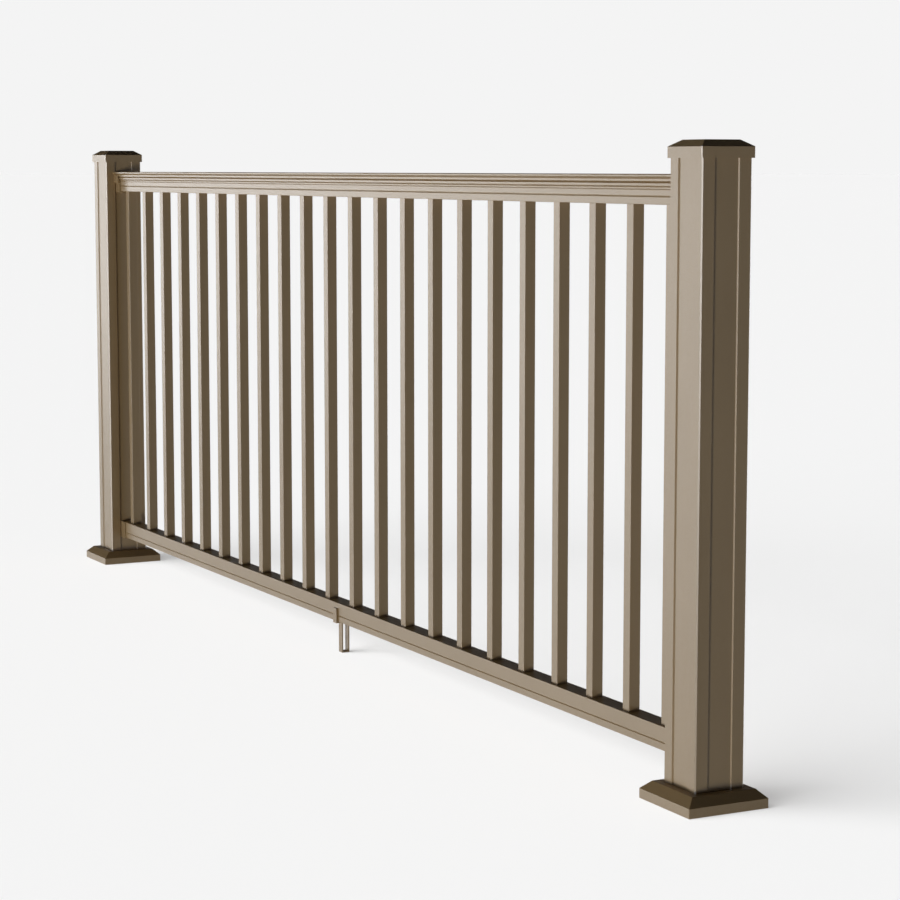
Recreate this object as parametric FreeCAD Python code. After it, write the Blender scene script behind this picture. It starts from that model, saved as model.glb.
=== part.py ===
import FreeCAD, Part
import math
import os
from FreeCAD import Vector

# Deck railing section: two square fluted posts on bolted feet, joined by a top rail and a bottom rail
# with a row of square balusters between them. Millimetres, +Z up. The origin is the middle of the left
# post's foot, on the deck. +X runs along the rails to the right post, and the front faces -Y.

# Span and heights
CLEAR_OPENING = 2438.4          # between the faces of the two posts
RAIL_TOP = 916.6                # top of the top rail above the deck
BOTTOM_RAIL_UNDERSIDE = 61.1    # open gap under the bottom rail
POST_ABOVE_RAIL = 35.7          # how far a post's tube rises past the top rail, into its cap

# Post: square tube with a shallow flute down the middle of each face
POST_SIZE = 84.2
POST_WALL = 3.0
POST_CORNER_BEVEL = 1.7
FLUTE_WIDTH = 41.6              # across the flute's mouth
FLUTE_DEPTH = 2.0
FLUTE_DRAFT = 1.25              # how far each side of the flute leans in towards its floor
FLUTE_EDGE_RADIUS = 0.6

# Foot plate welded under a post
PLATE_MARGIN = 17.9             # how far the plate reaches past the post's faces
PLATE_THICKNESS = 9.5
PLATE_CORNER_RADIUS = 8.0
BOLT_EDGE_DISTANCE = 11.0
BOLT_HOLE_DIAMETER = 11.0

# Skirt: sloped trim that slides down a post and hides its foot plate
SKIRT_PLATE_ROOM = 5.9          # gap between the foot plate's edge and the inside of the skirt
SKIRT_BAND = 14.5
SKIRT_RISE = 12.9
SKIRT_LEDGE = 12.5
SKIRT_WALL = 2.5
SKIRT_CLEARANCE = 0.4
SKIRT_EDGE_RADIUS = 1.0

# Post cap: upright band, low sloped roof and a flat top
CAP_WALL = 2.9
CAP_CLEARANCE = 0.5
CAP_BAND = 16.0
CAP_RISE = 10.0
CAP_RUN = 16.0
CAP_SEAT_DEPTH = 13.0
CAP_SEAT_LAND = 8.0
CAP_ROOF_THICKNESS = 3.0
CAP_EDGE_BEVEL = 1.5

# Rails: extruded sections with the same body and the same groove along each side
RAIL_BODY_WIDTH = 32.3
RAIL_WALL = 2.4
RAIL_EDGE_RADIUS = 0.7
GROOVE_ABOVE_UNDERSIDE = 10.8
GROOVE_HEIGHT = 2.6
GROOVE_DEPTH = 0.9
BOTTOM_RAIL_HEIGHT = 36.3

# Top rail's moulded head, upwards from its underside: three flat reeds that step outwards, with a V-shaped
# quirk below each, then a flare and the wide lip that the hand holds
HEAD_START = 21.6
LOW_QUIRK_HEIGHT = 1.6
LOW_QUIRK_DEPTH = 0.5
LOW_REED_WIDTH = 34.0
LOW_REED_HEIGHT = 2.0
MIDDLE_QUIRK_HEIGHT = 2.4
MIDDLE_QUIRK_DEPTH = 0.8
MIDDLE_REED_WIDTH = 38.0
MIDDLE_REED_HEIGHT = 3.5
HIGH_QUIRK_HEIGHT = 3.3
HIGH_QUIRK_DEPTH = 2.2
HIGH_REED_WIDTH = 41.2
HIGH_REED_HEIGHT = 3.2
FLARE_HEIGHT = 3.7
LIP_WIDTH = 52.2
LIP_HEIGHT = 3.4
LIP_EDGE_RADIUS = 1.2
CROWN_RISE = 0.3
HEAD_ROOF_THICKNESS = 2.6

# Balusters: square tubes that pass through punched holes in the rails
BALUSTER_SIZE = 19.05
BALUSTER_WALL = 1.6
BALUSTER_CORNER_RADIUS = 0.6
BALUSTER_PITCH = 111.27
BALUSTER_HOLE_CLEARANCE = 0.25
PUNCH_OVERRUN = 1.0             # how far the punch passes the wall that it pierces
BALUSTER_HEAD_GAP = 0.6
BALUSTER_TO_BRACKET = 6.0       # least gap between the end balusters and the rail brackets

# Rail brackets: cups keyed into the flutes of the posts
BRACKET_LENGTH = 24.0
BRACKET_WALL = 2.0
BRACKET_CLEARANCE = 0.25

# Centre support: a clip under the middle of the bottom rail on a hollow leg
SUPPORT_LENGTH = 15.0
SUPPORT_ARM = 3.3
SUPPORT_ARM_HEIGHT = 25.5
SUPPORT_FLOOR = 3.0
SUPPORT_CLEARANCE = 0.2
SUPPORT_LEG_DEPTH = 15.4
SUPPORT_LEG_WALL = 2.2

# Places that follow from the sizes above
POST_SPACING = CLEAR_OPENING + POST_SIZE
MIDDLE_X = POST_SPACING / 2
RAIL_START_X = POST_SIZE / 2
LOW_REED_START = HEAD_START + LOW_QUIRK_HEIGHT
MIDDLE_QUIRK_START = LOW_REED_START + LOW_REED_HEIGHT
MIDDLE_REED_START = MIDDLE_QUIRK_START + MIDDLE_QUIRK_HEIGHT
HIGH_QUIRK_START = MIDDLE_REED_START + MIDDLE_REED_HEIGHT
HIGH_REED_START = HIGH_QUIRK_START + HIGH_QUIRK_HEIGHT
FLARE_START = HIGH_REED_START + HIGH_REED_HEIGHT
LIP_START = FLARE_START + FLARE_HEIGHT
TOP_RAIL_HEIGHT = LIP_START + LIP_HEIGHT + CROWN_RISE
TOP_RAIL_UNDERSIDE = RAIL_TOP - TOP_RAIL_HEIGHT
GROOVE_TOP = GROOVE_ABOVE_UNDERSIDE + GROOVE_HEIGHT
PLATE_SIZE = POST_SIZE + 2 * PLATE_MARGIN
BOLT_SPACING = PLATE_SIZE - 2 * BOLT_EDGE_DISTANCE
SKIRT_SIZE = PLATE_SIZE + 2 * (SKIRT_PLATE_ROOM + SKIRT_WALL)
SKIRT_TOP_SIZE = POST_SIZE + 2 * SKIRT_LEDGE
SKIRT_HEIGHT = SKIRT_BAND + SKIRT_RISE
POST_TOP = RAIL_TOP + POST_ABOVE_RAIL
CAP_SIZE = POST_SIZE + 2 * (CAP_CLEARANCE + CAP_WALL)
CAP_TOP_SIZE = CAP_SIZE - 2 * CAP_RUN
CAP_UNDERSIDE = POST_TOP - CAP_SEAT_DEPTH


def upright_edges(shape):
    return [edge for edge in shape.Edges if abs(edge.tangentAt(edge.FirstParameter).z) > 0.5]


def square_prism(size, z_low, z_high, corner_radius=0.0):
    """Upright square bar about the Z axis, with rounded corners where a radius is given."""
    bar = Part.makeBox(size, size, z_high - z_low, Vector(-size / 2, -size / 2, z_low))
    if corner_radius > 0:
        bar = bar.makeFillet(corner_radius, upright_edges(bar))
    return bar


def hip(size, top_size, z_low, z_top):
    """Square frustum about the Z axis with four flat sloped faces."""
    low = size / 2
    high = top_size / 2
    wedge = Part.makeWedge(-low, z_low, -low, -high, -high, low, z_top, low, high, high)
    wedge.rotate(Vector(0, 0, 0), Vector(1, 0, 0), 90)
    return wedge


def hipped_block(size, top_size, z_low, z_band, z_top):
    """Square block with an upright band and four sloped faces that rise to a smaller flat top."""
    band = square_prism(size, z_low, z_band)
    return band.fuse(hip(size, top_size, z_band, z_top)).removeSplitter()


def upper_edges(block):
    """Edges of a block, all but those of its underside."""
    underside = block.BoundBox.ZMin
    return [edge for edge in block.Edges if edge.BoundBox.ZMax > underside + 0.01]


def fluted_prism(size, flute_width, z_low, z_high, corner_bevel=0.0, flute_edge_radius=0.0):
    """Square bar with one shallow flute cut down the middle of each face."""
    bar = square_prism(size, z_low, z_high)
    if corner_bevel > 0:
        bar = bar.makeChamfer(corner_bevel, upright_edges(bar))
    face = size / 2
    mouth_half = flute_width / 2
    floor_half = mouth_half - FLUTE_DRAFT
    corners = [
        Vector(face, -mouth_half, z_low),
        Vector(face - FLUTE_DEPTH, -floor_half, z_low),
        Vector(face - FLUTE_DEPTH, floor_half, z_low),
        Vector(face, mouth_half, z_low),
    ]
    section = Part.Face(Part.makePolygon(corners + corners[:1]))
    flute = section.extrude(Vector(0, 0, z_high - z_low))
    for quarter in range(4):
        turned = flute.copy()
        turned.rotate(Vector(0, 0, 0), Vector(0, 0, 1), 90 * quarter)
        bar = bar.cut(turned)
    if flute_edge_radius > 0:
        mouth_reach = math.hypot(face, mouth_half)
        lips = [edge for edge in bar.Edges
                if edge.BoundBox.ZLength > 1.0
                and abs(math.hypot(edge.Vertexes[0].X, edge.Vertexes[0].Y) - mouth_reach) < 0.01]
        bar = bar.makeFillet(flute_edge_radius, lips)
    return bar


def section_wire(points):
    """Run of straight lines and (through, to) arcs in the YZ plane."""
    edges = []
    last = Vector(0, *points[0])
    for step in points[1:]:
        if isinstance(step[0], tuple):
            through = Vector(0, *step[0])
            end = Vector(0, *step[1])
            edges.append(Part.Arc(last, through, end).toShape())
        else:
            end = Vector(0, *step)
            edges.append(Part.makeLine(last, end))
        last = end
    return Part.Wire(edges)


def rounded(corner, before, after, radius):
    """Point and arc that round off a square corner between the runs from before and to after."""
    def short_of_corner(place):
        reach = math.hypot(place[0] - corner[0], place[1] - corner[1])
        return tuple(c + radius * (p - c) / reach for c, p in zip(corner, place))

    start = short_of_corner(before)
    end = short_of_corner(after)
    centre = (start[0] + end[0] - corner[0], start[1] + end[1] - corner[1])
    middle = tuple(m + (c - m) / math.sqrt(2) for c, m in zip(corner, centre))
    return [start, (middle, end)]


def symmetric_wire(half_points):
    """Outline from a front half that starts and ends on the middle plane, and its mirror image."""
    front = section_wire(half_points)
    back = front.mirror(Vector(0, 0, 0), Vector(0, 1, 0))
    return Part.Wire(Part.__sortEdges__(front.Edges + back.Edges))


def box_wire(width, z_low, z_high):
    """Upright rectangle in the YZ plane, centred on the middle plane."""
    half = width / 2
    return symmetric_wire([(0, z_low), (-half, z_low), (-half, z_high), (0, z_high)])


def extrude_along_x(outer, hollows, x_start, length, z_start):
    """Bar of a hollow section, from its outline and the outlines of its hollows."""
    face = Part.makeFace([outer] + hollows, "Part::FaceMakerBullseye")
    face.translate(Vector(x_start, 0, z_start))
    return face.extrude(Vector(length, 0, 0)).removeSplitter()


def make_post():
    outside = fluted_prism(POST_SIZE, FLUTE_WIDTH, PLATE_THICKNESS, POST_TOP, POST_CORNER_BEVEL,
                           FLUTE_EDGE_RADIUS)
    bore_size = POST_SIZE - 2 * POST_WALL
    bore = fluted_prism(bore_size, FLUTE_WIDTH + 2 * POST_WALL, PLATE_THICKNESS, POST_TOP)
    return outside.cut(bore)


def make_foot_plate():
    plate = square_prism(PLATE_SIZE, 0.0, PLATE_THICKNESS, PLATE_CORNER_RADIUS)
    for side_x in (-1, 1):
        for side_y in (-1, 1):
            place = Vector(side_x * BOLT_SPACING / 2, side_y * BOLT_SPACING / 2, 0.0)
            plate = plate.cut(Part.makeCylinder(BOLT_HOLE_DIAMETER / 2, PLATE_THICKNESS, place))
    return plate


def make_skirt():
    outside = hipped_block(SKIRT_SIZE, SKIRT_TOP_SIZE, 0.0, SKIRT_BAND, SKIRT_HEIGHT)
    outside = outside.makeFillet(SKIRT_EDGE_RADIUS, upper_edges(outside))
    run = (SKIRT_SIZE - SKIRT_TOP_SIZE) / 2
    slope = math.hypot(run, SKIRT_RISE)
    # The hollow keeps one wall thickness behind the band, the slope and the ledge.
    hollow_band = SKIRT_BAND - SKIRT_WALL * run / (slope + SKIRT_RISE)
    hollow_top_size = SKIRT_TOP_SIZE - 2 * SKIRT_WALL * SKIRT_RISE / (slope + run)
    hollow_size = SKIRT_SIZE - 2 * SKIRT_WALL
    hollow = hipped_block(hollow_size, hollow_top_size, 0.0, hollow_band, SKIRT_HEIGHT - SKIRT_WALL)
    post_hole = square_prism(POST_SIZE + 2 * SKIRT_CLEARANCE, 0.0, SKIRT_HEIGHT)
    return outside.cut(hollow).cut(post_hole)


def make_cap():
    band_top = CAP_UNDERSIDE + CAP_BAND
    cap_top = band_top + CAP_RISE
    outside = hipped_block(CAP_SIZE, CAP_TOP_SIZE, CAP_UNDERSIDE, band_top, cap_top)
    outside = outside.makeChamfer(CAP_EDGE_BEVEL, upright_edges(outside))
    socket = square_prism(POST_SIZE + 2 * CAP_CLEARANCE, CAP_UNDERSIDE, POST_TOP)
    hollow_size = POST_SIZE - 2 * CAP_SEAT_LAND
    hollow_top_size = CAP_TOP_SIZE - 2 * CAP_ROOF_THICKNESS
    roof_hollow = hip(hollow_size, hollow_top_size, POST_TOP, cap_top - CAP_ROOF_THICKNESS)
    return outside.cut(socket).cut(roof_hollow)


def quirk(half_below, half_above, z_low, height, depth):
    """Three points of a V-shaped groove between two flat runs of a rail's side."""
    bottom = min(half_below, half_above) - depth
    return [(-half_below, z_low), (-bottom, z_low + height / 2), (-half_above, z_low + height)]


def body_points(half):
    """Points up the front side of a rail's body, with its groove, to just above the groove."""
    groove = quirk(half, half, GROOVE_ABOVE_UNDERSIDE, GROOVE_HEIGHT, GROOVE_DEPTH)
    return [(0, 0)] + rounded((-half, 0), (0, 0), groove[0], RAIL_EDGE_RADIUS) + groove


def baluster_places():
    """Middle of each baluster along the rails, evenly pitched about mid-span."""
    room = CLEAR_OPENING - BALUSTER_SIZE - 2 * (BRACKET_LENGTH + BALUSTER_TO_BRACKET)
    count = int(room // BALUSTER_PITCH) + 1
    first = MIDDLE_X - (count - 1) * BALUSTER_PITCH / 2
    return [first + step * BALUSTER_PITCH for step in range(count)]


def punch(rail, z_low, z_high):
    """Square holes through one wall of a rail, one for each baluster."""
    hole_size = BALUSTER_SIZE + 2 * BALUSTER_HOLE_CLEARANCE
    holes = []
    for place in baluster_places():
        hole = square_prism(hole_size, z_low - PUNCH_OVERRUN, z_high + PUNCH_OVERRUN)
        hole.translate(Vector(place, 0, 0))
        holes.append(hole)
    return rail.cut(Part.makeCompound(holes))


def make_bottom_rail():
    half = RAIL_BODY_WIDTH / 2
    crown = (0, BOTTOM_RAIL_HEIGHT)
    outline = body_points(half)
    outline += rounded((-half, BOTTOM_RAIL_HEIGHT), outline[-1], crown, RAIL_EDGE_RADIUS) + [crown]
    inside = RAIL_BODY_WIDTH - 2 * RAIL_WALL
    cells = [
        box_wire(inside, RAIL_WALL, GROOVE_ABOVE_UNDERSIDE),
        box_wire(inside, GROOVE_TOP, BOTTOM_RAIL_HEIGHT - RAIL_WALL),
    ]
    rail = extrude_along_x(symmetric_wire(outline), cells, RAIL_START_X, CLEAR_OPENING,
                           BOTTOM_RAIL_UNDERSIDE)
    top = BOTTOM_RAIL_UNDERSIDE + BOTTOM_RAIL_HEIGHT
    return punch(rail, top - RAIL_WALL, top)


def make_top_rail():
    half = RAIL_BODY_WIDTH / 2
    low_reed = LOW_REED_WIDTH / 2
    middle_reed = MIDDLE_REED_WIDTH / 2
    high_reed = HIGH_REED_WIDTH / 2
    lip = LIP_WIDTH / 2
    lip_start = (-lip, LIP_START)
    crown = (0, TOP_RAIL_HEIGHT)
    outline = body_points(half)
    outline += quirk(half, low_reed, HEAD_START, LOW_QUIRK_HEIGHT, LOW_QUIRK_DEPTH)
    outline += quirk(low_reed, middle_reed, MIDDLE_QUIRK_START, MIDDLE_QUIRK_HEIGHT, MIDDLE_QUIRK_DEPTH)
    outline += quirk(middle_reed, high_reed, HIGH_QUIRK_START, HIGH_QUIRK_HEIGHT, HIGH_QUIRK_DEPTH)
    outline += [(-high_reed, FLARE_START), lip_start]
    outline += rounded((-lip, LIP_START + LIP_HEIGHT), lip_start, crown, LIP_EDGE_RADIUS)
    outline += [crown]
    inside = RAIL_BODY_WIDTH - 2 * RAIL_WALL
    cells = [
        box_wire(inside, RAIL_WALL, GROOVE_ABOVE_UNDERSIDE),
        box_wire(inside, GROOVE_TOP, TOP_RAIL_HEIGHT - HEAD_ROOF_THICKNESS),
    ]
    rail = extrude_along_x(symmetric_wire(outline), cells, RAIL_START_X, CLEAR_OPENING,
                           TOP_RAIL_UNDERSIDE)
    return punch(rail, TOP_RAIL_UNDERSIDE, TOP_RAIL_UNDERSIDE + RAIL_WALL)


def make_baluster():
    """Tube from the web inside the bottom rail to just below the web inside the top rail."""
    low = BOTTOM_RAIL_UNDERSIDE + GROOVE_TOP
    high = TOP_RAIL_UNDERSIDE + GROOVE_ABOVE_UNDERSIDE - BALUSTER_HEAD_GAP
    outside = square_prism(BALUSTER_SIZE, low, high, BALUSTER_CORNER_RADIUS)
    return outside.cut(square_prism(BALUSTER_SIZE - 2 * BALUSTER_WALL, low, high))


def stepped_wire(z_low, steps):
    """Outline that widens upwards in level steps, each given as its half width and its upper end."""
    points = [(0, z_low)]
    z_start = z_low
    for half, z_end in steps:
        points += [(-half, z_start), (-half, z_end)]
        z_start = z_end
    return symmetric_wire(points + [(0, z_start)])


def make_bracket(inside, outside, rail_underside, z_top):
    """Cup for one rail end, with a key behind it that fills the flute in the left post's face."""
    cup = extrude_along_x(outside, [], RAIL_START_X, BRACKET_LENGTH, rail_underside)
    room = extrude_along_x(inside, [], RAIL_START_X, BRACKET_LENGTH, rail_underside)
    key_width = RAIL_BODY_WIDTH + 2 * (BRACKET_CLEARANCE + BRACKET_WALL)
    key_outline = box_wire(key_width, -BRACKET_WALL, z_top)
    key = extrude_along_x(key_outline, [], RAIL_START_X - FLUTE_DEPTH, FLUTE_DEPTH, rail_underside)
    return key.fuse(cup.cut(room)).removeSplitter()


def make_top_bracket():
    """Cup whose inside steps out with the rail's reeds, while its outside steps out once below the head."""
    halves = [width / 2 + BRACKET_CLEARANCE
              for width in (RAIL_BODY_WIDTH, LOW_REED_WIDTH, MIDDLE_REED_WIDTH, HIGH_REED_WIDTH)]
    ends = [z - BRACKET_CLEARANCE for z in (HEAD_START, MIDDLE_QUIRK_START, HIGH_QUIRK_START, FLARE_START)]
    ledge = (halves[0] + BRACKET_WALL, ends[0] - BRACKET_WALL)
    rim = (halves[-1] + BRACKET_WALL, ends[-1])
    inside = stepped_wire(0.0, list(zip(halves, ends)))
    outside = stepped_wire(-BRACKET_WALL, [ledge, rim])
    return make_bracket(inside, outside, TOP_RAIL_UNDERSIDE, ends[-1])


def make_bottom_bracket():
    width = RAIL_BODY_WIDTH + 2 * BRACKET_CLEARANCE
    inside = box_wire(width, 0.0, BOTTOM_RAIL_HEIGHT)
    outside = box_wire(width + 2 * BRACKET_WALL, -BRACKET_WALL, BOTTOM_RAIL_HEIGHT)
    return make_bracket(inside, outside, BOTTOM_RAIL_UNDERSIDE, BOTTOM_RAIL_HEIGHT)


def make_centre_support():
    """Clip round the lower part of the bottom rail, on a hollow leg that stands on the deck."""
    room_half = RAIL_BODY_WIDTH / 2 + SUPPORT_CLEARANCE
    arm_half = room_half + SUPPORT_ARM
    leg_half = SUPPORT_LEG_DEPTH / 2
    floor_low = BOTTOM_RAIL_UNDERSIDE - SUPPORT_FLOOR
    arm_top = BOTTOM_RAIL_UNDERSIDE + SUPPORT_ARM_HEIGHT
    outline = [
        (0, 0),
        (-leg_half, 0),
        (-leg_half, floor_low),
        (-arm_half, floor_low),
        (-arm_half, arm_top),
        (-room_half, arm_top),
        (-room_half, BOTTOM_RAIL_UNDERSIDE),
        (0, BOTTOM_RAIL_UNDERSIDE),
    ]
    leg_room = box_wire(SUPPORT_LEG_DEPTH - 2 * SUPPORT_LEG_WALL, SUPPORT_LEG_WALL, floor_low)
    start = MIDDLE_X - SUPPORT_LENGTH / 2
    return extrude_along_x(symmetric_wire(outline), [leg_room], start, SUPPORT_LENGTH, 0.0)


def save(name, shape):
    shape.exportStep("parts/" + name + ".step")


def moved_to_right_post(shape):
    copy = shape.copy()
    copy.translate(Vector(POST_SPACING, 0, 0))
    return copy


def mirrored_to_right_post(shape):
    return shape.mirror(Vector(MIDDLE_X, 0, 0), Vector(1, 0, 0))


os.makedirs("parts", exist_ok=True)

for piece, shape in (
    ("post", make_post()),
    ("foot_plate", make_foot_plate()),
    ("post_skirt", make_skirt()),
    ("post_cap", make_cap()),
):
    save("left_" + piece, shape)
    save("right_" + piece, moved_to_right_post(shape))

for piece, shape in (
    ("top_rail_bracket", make_top_bracket()),
    ("bottom_rail_bracket", make_bottom_bracket()),
):
    save("left_" + piece, shape)
    save("right_" + piece, mirrored_to_right_post(shape))

save("top_rail", make_top_rail())
save("bottom_rail", make_bottom_rail())
save("centre_support", make_centre_support())

baluster = make_baluster()
for number, place in enumerate(baluster_places(), start=1):
    copy = baluster.copy()
    copy.translate(Vector(place, 0, 0))
    save(f"baluster_{number:02d}", copy)
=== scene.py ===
# %% [markdown]
# # Dressing a deck railing section
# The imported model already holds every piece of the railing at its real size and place: two fluted posts
# with caps, skirts and foot plates, a top and a bottom rail, 22 balusters, four rail brackets and a support
# under the middle of the span. This lesson gives those pieces their finish, adds the screws that hold the
# rails in their brackets, and sets up a floor, soft light and a camera. The model's box is kept, because
# nothing that is added here may make the railing larger.

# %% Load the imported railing
import math
import bpy
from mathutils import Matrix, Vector


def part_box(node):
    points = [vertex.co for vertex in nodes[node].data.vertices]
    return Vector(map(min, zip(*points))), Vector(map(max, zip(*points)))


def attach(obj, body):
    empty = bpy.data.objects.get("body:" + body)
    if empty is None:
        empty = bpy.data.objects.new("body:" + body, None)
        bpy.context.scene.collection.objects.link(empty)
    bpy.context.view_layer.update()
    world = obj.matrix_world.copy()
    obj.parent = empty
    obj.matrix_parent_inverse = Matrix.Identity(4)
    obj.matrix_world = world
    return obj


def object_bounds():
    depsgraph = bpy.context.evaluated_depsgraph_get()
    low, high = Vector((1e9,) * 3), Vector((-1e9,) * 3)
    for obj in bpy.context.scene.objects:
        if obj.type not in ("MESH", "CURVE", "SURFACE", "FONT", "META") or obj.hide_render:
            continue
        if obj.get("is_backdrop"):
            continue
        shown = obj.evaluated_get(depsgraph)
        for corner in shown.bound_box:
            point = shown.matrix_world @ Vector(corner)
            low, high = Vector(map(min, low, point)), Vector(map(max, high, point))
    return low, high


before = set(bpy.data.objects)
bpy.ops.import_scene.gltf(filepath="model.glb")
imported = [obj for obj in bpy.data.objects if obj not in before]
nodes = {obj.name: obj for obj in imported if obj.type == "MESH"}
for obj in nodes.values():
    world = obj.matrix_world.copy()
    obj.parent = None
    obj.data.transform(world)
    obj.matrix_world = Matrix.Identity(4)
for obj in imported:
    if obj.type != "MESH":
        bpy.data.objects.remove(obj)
cad_low, cad_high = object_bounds()
print("loaded", len(nodes), "pieces, railing", [round(v, 3) for v in cad_high - cad_low], "m")

# %% [markdown]
# ## Satin powder coat
# Every visible piece is aluminium with a baked polyester powder coat in a warm bronze brown. The coat is a
# dielectric skin, so the metal below doesn't show: the colour is the pigment's, and the sheen is white. Close
# up it has the faint ripple called orange peel, a millimetre or two from crest to crest, and the pigment is
# a little uneven over a span of a hand. A flat colour would look like plastic, and a bitmap would stretch
# along the rails, so the unevenness comes from three noises on object coordinates. They have the same scale
# on every piece, because each object sits at the origin.

# %% Start the coat with three noises
# Each noise is given as cells per metre and detail.
CLOUDS = (6.0, 3.0)
RIPPLES = (420.0, 1.0)
GRAINS = (1500.0, 0.0)


def new_material(name):
    """An empty node material, its tree and its shader."""
    material = bpy.data.materials.new(name)
    material.use_nodes = True
    return material, material.node_tree, material.node_tree.nodes["Principled BSDF"]


def noise(tree, coordinates, scale, detail):
    """A noise texture that reads the given coordinates."""
    texture = tree.nodes.new("ShaderNodeTexNoise")
    texture.inputs["Scale"].default_value = scale
    texture.inputs["Detail"].default_value = detail
    tree.links.new(coordinates, texture.inputs["Vector"])
    return texture.outputs["Fac"]


coat, coat_tree, coat_shader = new_material("powder_coat")
coat_place = coat_tree.nodes.new("ShaderNodeTexCoord").outputs["Object"]
clouds = noise(coat_tree, coat_place, *CLOUDS)
ripples = noise(coat_tree, coat_place, *RIPPLES)
grains = noise(coat_tree, coat_place, *GRAINS)
print("clouds", round(1000 / CLOUDS[0]), "mm across, ripples", round(1000 / RIPPLES[0], 1), "mm across")

# %% [markdown]
# ## Colour, sheen and orange peel
# Two browns that are nearly the same are mixed by the widest noise. The finest noise changes the roughness,
# so that the sheen breaks up a little, and the middle one lifts the surface by two hundredths of a
# millimetre. All of this could be baked into pictures, but nodes stay sharp at any distance. A noise rarely
# leaves the middle of its range, so a helper spreads that middle over the values that are wanted.

# %% Colour the coat
COAT_DEEP = (0.368, 0.254, 0.126, 1.0)
COAT_PALE = (0.392, 0.273, 0.139, 1.0)
NOISE_MIDDLE = (0.3, 0.7)


def spread(tree, value, low, high):
    """A noise, which stays near one half, spread over a range of values."""
    ramp = tree.nodes.new("ShaderNodeMapRange")
    ramp.inputs["From Min"].default_value = NOISE_MIDDLE[0]
    ramp.inputs["From Max"].default_value = NOISE_MIDDLE[1]
    ramp.inputs["To Min"].default_value = low
    ramp.inputs["To Max"].default_value = high
    tree.links.new(value, ramp.inputs["Value"])
    return ramp.outputs["Result"]


def two_tone(tree, value, first, second):
    """A colour between two tones, by a noise."""
    mix = tree.nodes.new("ShaderNodeMix")
    mix.data_type = "RGBA"
    mix.inputs["A"].default_value = first
    mix.inputs["B"].default_value = second
    tree.links.new(spread(tree, value, 0.0, 1.0), mix.inputs["Factor"])
    return mix.outputs["Result"]


coat_tree.links.new(two_tone(coat_tree, clouds, COAT_DEEP, COAT_PALE), coat_shader.inputs["Base Color"])
print("coloured the coat from", COAT_DEEP[:3], "to", COAT_PALE[:3])

# %% Give the coat its sheen and ripple
COAT_SHEEN = 0.5
COAT_ROUGHNESS = (0.26, 0.33)
RIPPLE_HEIGHT = 0.00002


def ripple(tree, height, distance):
    """A bump whose height is a noise times a distance in metres."""
    bump = tree.nodes.new("ShaderNodeBump")
    bump.inputs["Strength"].default_value = 1.0
    bump.inputs["Distance"].default_value = distance
    tree.links.new(height, bump.inputs["Height"])
    return bump.outputs["Normal"]


coat_shader.inputs["Specular IOR Level"].default_value = COAT_SHEEN
coat_tree.links.new(spread(coat_tree, grains, *COAT_ROUGHNESS), coat_shader.inputs["Roughness"])
coat_tree.links.new(ripple(coat_tree, ripples, RIPPLE_HEIGHT), coat_shader.inputs["Normal"])
print("made the coat, roughness", COAT_ROUGHNESS, "and ripples of", RIPPLE_HEIGHT * 1000, "mm")

# %% [markdown]
# ## Mill-finish foot plates
# The plate under each post is bare aluminium, hidden by the skirt from above and seen only from below. Rolled
# plate has fine streaks along the rolling direction. They could be cut as real scratches, but they are far
# too fine for a mesh. A noise that is squeezed along Y and stretched along X gives them, and drives the tone,
# the roughness and a shallow bump.

# %% Make the mill finish
PLATE_DULL = (0.56, 0.56, 0.55, 1.0)
PLATE_BRIGHT = (0.68, 0.68, 0.67, 1.0)
PLATE_ROUGHNESS = (0.32, 0.5)
STREAKS = (4.0, 3.0)
STREAK_STRETCH = (6.0, 240.0, 240.0)
STREAK_HEIGHT = 0.00002
plate_metal, plate_tree, plate_shader = new_material("mill_finish")
plate_shader.inputs["Metallic"].default_value = 1.0
plate_place = plate_tree.nodes.new("ShaderNodeTexCoord").outputs["Object"]
squeeze = plate_tree.nodes.new("ShaderNodeMapping")
squeeze.inputs["Scale"].default_value = STREAK_STRETCH
plate_tree.links.new(plate_place, squeeze.inputs["Vector"])
streaks = noise(plate_tree, squeeze.outputs["Vector"], *STREAKS)
plate_tone = two_tone(plate_tree, streaks, PLATE_DULL, PLATE_BRIGHT)
plate_tree.links.new(plate_tone, plate_shader.inputs["Base Color"])
plate_tree.links.new(spread(plate_tree, streaks, *PLATE_ROUGHNESS), plate_shader.inputs["Roughness"])
plate_tree.links.new(ripple(plate_tree, streaks, STREAK_HEIGHT), plate_shader.inputs["Normal"])
print("made the mill finish, streaks", round(STREAK_STRETCH[1] / STREAK_STRETCH[0]), "times as long as wide")

# %% [markdown]
# ## One coat for all
# Rails, posts, balusters, brackets and trim come out of the same coating line, so they share one material and
# their colour is sure to match. A material for each kind of piece would only let them drift apart. The two
# foot plates are the only pieces that stay bare.

# %% Give each piece its finish
for name, node in nodes.items():
    node.data.materials.clear()
    node.data.materials.append(plate_metal if name.endswith("foot_plate") else coat)
print("finished", len(nodes), "pieces")

# %% [markdown]
# ## Bracket screws
# Each bracket is held to its rail by two screws that are driven up from below, out of sight from the walking
# side. They are pan heads painted like the rail, with a square drive. A head could be spun from a half
# outline, but a short cylinder is quicker: its lower rim is bevelled into a dome in edit mode. One head is
# modelled where the axes cross, so that its mesh needs no turning.

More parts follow.
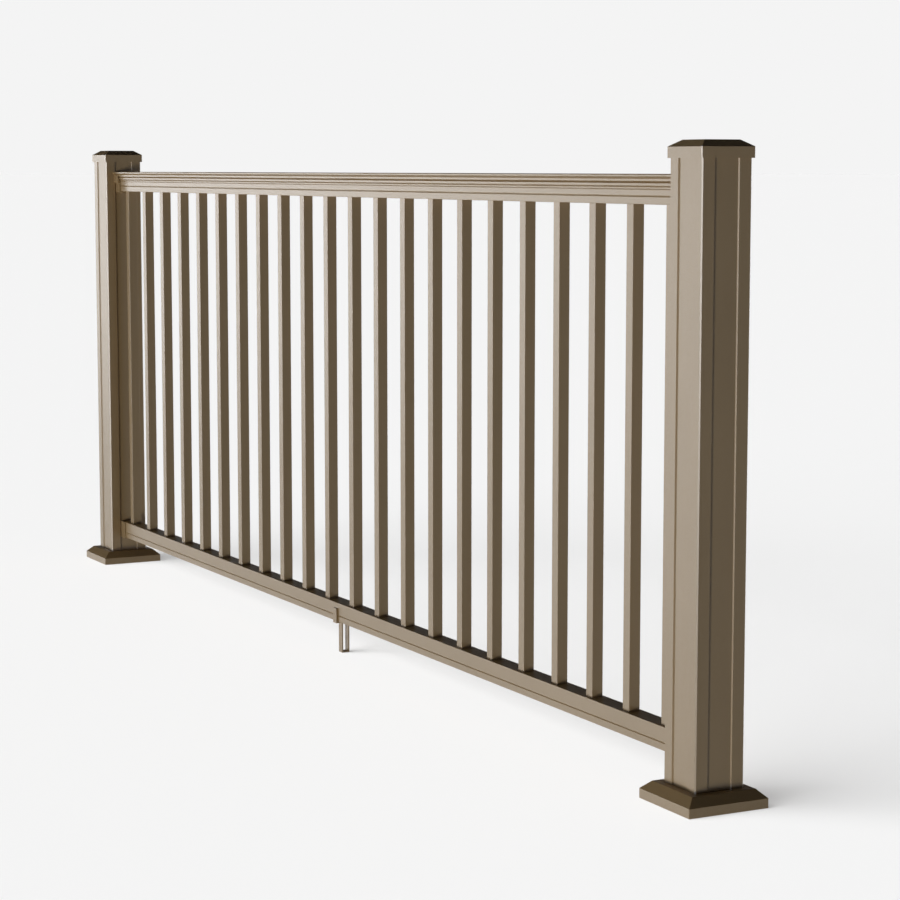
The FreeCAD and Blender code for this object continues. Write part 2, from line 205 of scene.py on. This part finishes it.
# %% Model one screw head
HEAD_RADIUS = 0.004
HEAD_HEIGHT = 0.0024
HEAD_SIDES = 32
HEAD_SUNK = 0.0002
HEAD_BOTTOM = HEAD_SUNK - HEAD_HEIGHT
HEAD_MIDDLE = HEAD_BOTTOM + HEAD_HEIGHT / 2
DOME_HEIGHT = 0.0017
DOME_STEPS = 5
bpy.ops.object.select_all(action="DESELECT")
bpy.ops.mesh.primitive_cylinder_add(vertices=HEAD_SIDES, radius=HEAD_RADIUS, depth=HEAD_HEIGHT,
                                    location=(0.0, 0.0, HEAD_MIDDLE))
screw = bpy.context.object
bpy.ops.object.transform_apply(location=True)
bpy.ops.object.mode_set(mode="EDIT")
bpy.ops.mesh.select_mode(type="EDGE")
bpy.ops.mesh.select_all(action="DESELECT")
bpy.ops.object.mode_set(mode="OBJECT")
corners = screw.data.vertices
for edge in screw.data.edges:
    edge.select = all(corners[end].co.z < HEAD_MIDDLE for end in edge.vertices)
bpy.ops.object.mode_set(mode="EDIT")
bpy.ops.mesh.bevel(offset=DOME_HEIGHT, segments=DOME_STEPS, affect="EDGES")
bpy.ops.object.mode_set(mode="OBJECT")
print("domed a head of", len(screw.data.polygons), "faces")

# %% [markdown]
# ## The square drive
# The driver's bit fits a square recess in the middle of the dome. Insetting the flat of the dome and pushing
# it in would give a round recess, so a small cube is taken away by a Boolean instead. The dome is then shaded
# smooth, and the recess keeps its sharp edges because they turn by more than the limit angle.

# %% Cut the square drive
DRIVE_WIDTH = 0.0026
SMOOTH_BELOW = math.radians(35.0)
bpy.ops.object.select_all(action="DESELECT")
bpy.ops.mesh.primitive_cube_add(size=DRIVE_WIDTH, location=(0.0, 0.0, HEAD_BOTTOM))
driver = bpy.context.object
drive = screw.modifiers.new("drive", "BOOLEAN")
drive.operation = "DIFFERENCE"
drive.object = driver
bpy.context.view_layer.objects.active = screw
bpy.ops.object.modifier_apply(modifier="drive")
bpy.data.objects.remove(driver)
bpy.ops.object.select_all(action="DESELECT")
screw.select_set(True)
bpy.ops.object.shade_smooth_by_angle(angle=SMOOTH_BELOW)
screw.data.materials.clear()
screw.data.materials.append(coat)
print("cut the drive,", len(screw.data.polygons), "faces")

# %% [markdown]
# ## Two screws in each bracket
# The screws sit side by side, a little way in from the rim where the rail leaves the bracket. Their places
# are measured from each bracket's own box, so they follow the model. Linked copies would share one mesh, but
# every screw is a piece of its own here, with its place in its mesh, and rides with the railing.

# %% Drive two screws into each bracket
SCREW_TO_RIM = 0.012
SCREW_SPREAD = 0.009
BRACKETS = [name for name in nodes if name.endswith("_bracket")]


def screw_place(bracket, side):
    """The spot under a bracket, measured back from the rim that faces the middle of the span."""
    low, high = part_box(bracket)
    along = high[0] - SCREW_TO_RIM if bracket.startswith("left") else low[0] + SCREW_TO_RIM
    return along, side * SCREW_SPREAD, low[2]


screws = []
for bracket in BRACKETS:
    for count, side in enumerate((-1, 1), start=1):
        bpy.ops.object.select_all(action="DESELECT")
        screw.select_set(True)
        bpy.context.view_layer.objects.active = screw
        bpy.ops.object.duplicate(linked=False)
        copy = bpy.context.object
        copy.name = f"{bracket}_screw_{count}"
        copy.location = screw_place(bracket, side)
        bpy.ops.object.transform_apply(location=True)
        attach(copy, "root")
        screws.append(copy)
bpy.data.objects.remove(screw)
print("drove", len(screws), "screws")

# %% [markdown]
# ## Floor
# The railing stands on a plain pale floor that runs on to the horizon. A curved backdrop would do as well in
# a small studio, but the span is long, and a wide flat disc leaves no bend to hide. It lies a hair below the
# foot plates, so that the two never share a plane. It is left out of the rays that carry soft bounced light,
# or it would light the undersides as strongly as the fronts.

# %% Lay the floor
FLOOR_RADIUS = 400.0
FLOOR_SIDES = 96
FLOOR_DROP = 0.0004
middle = (cad_low + cad_high) / 2
bpy.ops.object.select_all(action="DESELECT")
bpy.ops.mesh.primitive_circle_add(vertices=FLOOR_SIDES, radius=FLOOR_RADIUS, fill_type="NGON",
                                  location=(middle.x, middle.y, -FLOOR_DROP))
floor = bpy.context.object
floor.name = "floor"
floor.visible_diffuse = False
floor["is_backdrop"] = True
print("laid the floor,", FLOOR_RADIUS, "m in radius")

# %% [markdown]
# ## Floor paint
# In the photograph the floor is as bright as the wall behind it and only shades beside the posts. So about
# two fifths of its brightness is a glow of its own, and the rest comes from two lamps further down, which
# the railing can shade. A floor lit by lamps alone would shade far too deeply. It is clear from below, so
# that the railing can be looked at from there.

# %% Paint the floor
FLOOR_PAINT = (0.50, 0.50, 0.50, 1.0)
FLOOR_GLOW = 0.71
floor_paint, floor_tree, floor_shader = new_material("floor_paint")
floor_shader.inputs["Base Color"].default_value = FLOOR_PAINT
floor_shader.inputs["Roughness"].default_value = 1.0
floor_shader.inputs["Specular IOR Level"].default_value = 0.0
floor_shader.inputs["Emission Color"].default_value = FLOOR_PAINT
floor_shader.inputs["Emission Strength"].default_value = FLOOR_GLOW
clear = floor_tree.nodes.new("ShaderNodeBsdfTransparent")
facing = floor_tree.nodes.new("ShaderNodeNewGeometry")
either = floor_tree.nodes.new("ShaderNodeMixShader")
floor_tree.links.new(facing.outputs["Backfacing"], either.inputs["Fac"])
floor_tree.links.new(floor_shader.outputs["BSDF"], either.inputs[1])
floor_tree.links.new(clear.outputs["BSDF"], either.inputs[2])
floor_tree.links.new(either.outputs["Shader"], floor_tree.nodes["Material Output"].inputs["Surface"])
floor.data.materials.append(floor_paint)
print("painted the floor, own glow", round(FLOOR_PAINT[0] * FLOOR_GLOW, 3))

# %% [markdown]
# ## Light on the railing
# In the photograph the upright fronts are bright, the faces towards the right end are dark, and every slope
# that looks up is nearly black. So the main light stands in front, to the right and low down, as over a
# table that glows. Its own reflection is switched off, and a strip near it is seen in reflections only: it
# draws the thin bright line along the bevelled post corners without lighting the faces more. The rails and
# skirts don't get the strip, because their tops would flash white from behind.
#
# Two glows at the left lay a soft sheen on the fronts: the far end is seen at a flatter angle and mirrors
# another part of the studio, so it has a small glow to itself. A lamp behind keeps the back readable. All of
# them are far away, as wide soft suns, because the span is 2.6 m long and a lamp close by would light one end
# more than the other.

# %% Light the railing
# Each lamp is given as azimuth, elevation and width in degrees, and strength.
FRONT_LIGHT = (-64.0, -14.5, 16.0, 0.41)
EDGE_STRIP = (-65.0, 1.5, 20.0, 0.95)
LEFT_GLOW = (-136.0, -3.0, 27.0, 0.19)
LEFT_END_GLOW = (-157.0, 0.5, 12.0, 0.05)
BACK_GLOW = (108.0, -12.0, 60.0, 0.3)
WITHOUT_STRIP = ("_rail", "_bracket", "_skirt", "_plate", "_support")


def group(name, members):
    """A named group of objects for lamps to be limited to."""
    collection = bpy.data.collections.new(name)
    for member in members:
        collection.objects.link(member)
    return collection


def soft_sun(name, values, lit, shading):
    """A wide far lamp. At strength 1 a surface that faces it shows its own colour."""
    azimuth, elevation, width, strength = values
    turn = math.radians(azimuth)
    lift = math.radians(elevation)
    towards = Vector((math.cos(turn) * math.cos(lift), math.sin(turn) * math.cos(lift), math.sin(lift)))
    bpy.ops.object.light_add(type="SUN", rotation=towards.to_track_quat("Z", "Y").to_euler())
    lamp = bpy.context.object
    lamp.name = name
    lamp.data.angle = math.radians(width)
    lamp.data.energy = strength * math.pi
    lamp.light_linking.receiver_collection = lit
    lamp.light_linking.blocker_collection = shading
    return lamp


railing = group("railing", list(nodes.values()) + screws)
uprights = group("uprights", [node for name, node in nodes.items() if not name.endswith(WITHOUT_STRIP)])
front = soft_sun("front_light", FRONT_LIGHT, railing, railing)
front.visible_glossy = False
strip = soft_sun("edge_strip", EDGE_STRIP, uprights, railing)
strip.visible_diffuse = False
soft_sun("left_glow", LEFT_GLOW, railing, railing)
soft_sun("left_end_glow", LEFT_END_GLOW, railing, railing)
soft_sun("back_glow", BACK_GLOW, railing, railing)

# %% [markdown]
# ## Light on the floor
# The floor has two lamps of its own, both in front. A low one throws the faint shade behind the railing, and
# a high wide one, which only the posts and the support block, makes the short dark shadow beside each foot.
# One lamp for both would make either a hard shadow of every baluster or no shadow beside the feet.

# %% Light the floor
FLOOR_LOW = (-93.0, 16.0, 55.0, 1.3)
FLOOR_HIGH = (-93.0, 30.0, 80.0, 1.4)
FEET = ("_post", "_skirt", "_support")
ground = group("ground", [floor])
feet = group("feet", [node for name, node in nodes.items() if name.endswith(FEET)])
soft_sun("floor_low", FLOOR_LOW, ground, railing)
soft_sun("floor_high", FLOOR_HIGH, ground, feet)

# %% [markdown]
# ## Surroundings
# The wall behind is pale up to just above eye level and then fades into a dark ceiling. A bright ceiling
# would whiten the rail tops and the cap slopes, which the photograph shows nearly black. A colour ramp over
# the height of the view direction makes the band, with its stops given in degrees above the horizon. The
# wall also goes on below, so that no dark line shows past the far edge of the floor.

# %% Paint the wall and ceiling
SPAN = 14.0
CEILING = (0.02, 0.02, 0.02, 1.0)
WALL = (0.905, 0.905, 0.905, 1.0)
WALL_TOP = 4.2
CEILING_START = 5.4
BAND = [(-SPAN, WALL), (WALL_TOP, WALL), (CEILING_START, CEILING)]
REACH = math.sin(math.radians(SPAN))


def height_of(degrees):
    """The height of a direction at an angle above the horizon, between 0 and 1 over the span."""
    return (math.sin(math.radians(degrees)) + REACH) / (2 * REACH)


world = bpy.data.worlds.new("studio")
bpy.context.scene.world = world
world.use_nodes = True
sky = world.node_tree
direction = sky.nodes.new("ShaderNodeTexCoord").outputs["Generated"]
height = sky.nodes.new("ShaderNodeSeparateXYZ")
sky.links.new(direction, height.inputs["Vector"])
scale = sky.nodes.new("ShaderNodeMapRange")
scale.inputs["From Min"].default_value = -REACH
scale.inputs["From Max"].default_value = REACH
sky.links.new(height.outputs["Z"], scale.inputs["Value"])
band = sky.nodes.new("ShaderNodeValToRGB")
stops = band.color_ramp.elements
while len(stops) < len(BAND):
    stops.new(0.5)
for stop, (degrees, colour) in zip(stops, BAND):
    stop.position = height_of(degrees)
    stop.color = colour
sky.links.new(scale.outputs["Result"], band.inputs["Fac"])
print("painted a wall up to", WALL_TOP, "degrees and a ceiling from", CEILING_START)

# %% [markdown]
# ## Who sees the wall
# The camera, the mirrored rays and the rays that pass through something see the band as it is. Soft bounced
# light gets the dim ceiling from every side instead, through a Light Path mix, so the pale wall doesn't light
# the railing a second time. Lamps alone then decide how bright each face is.

# %% Show the wall to the camera and to reflections
seen = sky.nodes.new("ShaderNodeLightPath")
seen_or_mirrored = sky.nodes.new("ShaderNodeMath")
seen_or_mirrored.operation = "MAXIMUM"
sky.links.new(seen.outputs["Is Camera Ray"], seen_or_mirrored.inputs[0])
sky.links.new(seen.outputs["Is Glossy Ray"], seen_or_mirrored.inputs[1])
seen_or_through = sky.nodes.new("ShaderNodeMath")
seen_or_through.operation = "MAXIMUM"
sky.links.new(seen_or_mirrored.outputs["Value"], seen_or_through.inputs[0])
sky.links.new(seen.outputs["Is Transmission Ray"], seen_or_through.inputs[1])
wall_or_dim = sky.nodes.new("ShaderNodeMix")
wall_or_dim.data_type = "RGBA"
wall_or_dim.inputs["A"].default_value = CEILING
sky.links.new(seen_or_through.outputs["Value"], wall_or_dim.inputs["Factor"])
sky.links.new(band.outputs["Color"], wall_or_dim.inputs["B"])
sky.links.new(wall_or_dim.outputs["Result"], sky.nodes["Background"].inputs["Color"])
print("the world has", len(sky.nodes), "nodes")

# %% [markdown]
# ## Camera
# The picture was taken from the right end with a long lens, at about the height of the top rail, so that the
# rail's top is hardly seen. The camera's place, turn and lens were solved from edges of the railing whose
# places on the model are known. Placing it by eye could match one post, but the other end of a long span
# would run off.

# %% Set the camera
CAMERA_PLACE = (5.45195, -1.9187, 0.9246)
CAMERA_TILT = math.radians(83.388)
CAMERA_TURN = math.radians(62.866)
CAMERA_LENS = 97.2
CAMERA_SENSOR = 36.0
bpy.ops.object.camera_add(location=CAMERA_PLACE, rotation=(CAMERA_TILT, 0.0, CAMERA_TURN))
camera = bpy.context.object
camera.data.sensor_width = CAMERA_SENSOR
camera.data.lens = CAMERA_LENS
bpy.context.scene.camera = camera
bpy.context.scene.view_settings.view_transform = "Standard"
print("camera", round((Vector(CAMERA_PLACE) - middle).length, 2), "m from the middle of the railing")

# %% [markdown]
# ## Size
# The dressed railing is measured again, and how far its box differs from the model's own is printed. The
# screws lie under the brackets, well inside the railing, so the two boxes are the same.

# %% Note the size
low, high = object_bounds()
growth = max(abs(new - old) for new, old in zip([*low, *high], [*cad_low, *cad_high]))
print("the box changed by", round(growth * 1000, 4), "mm")
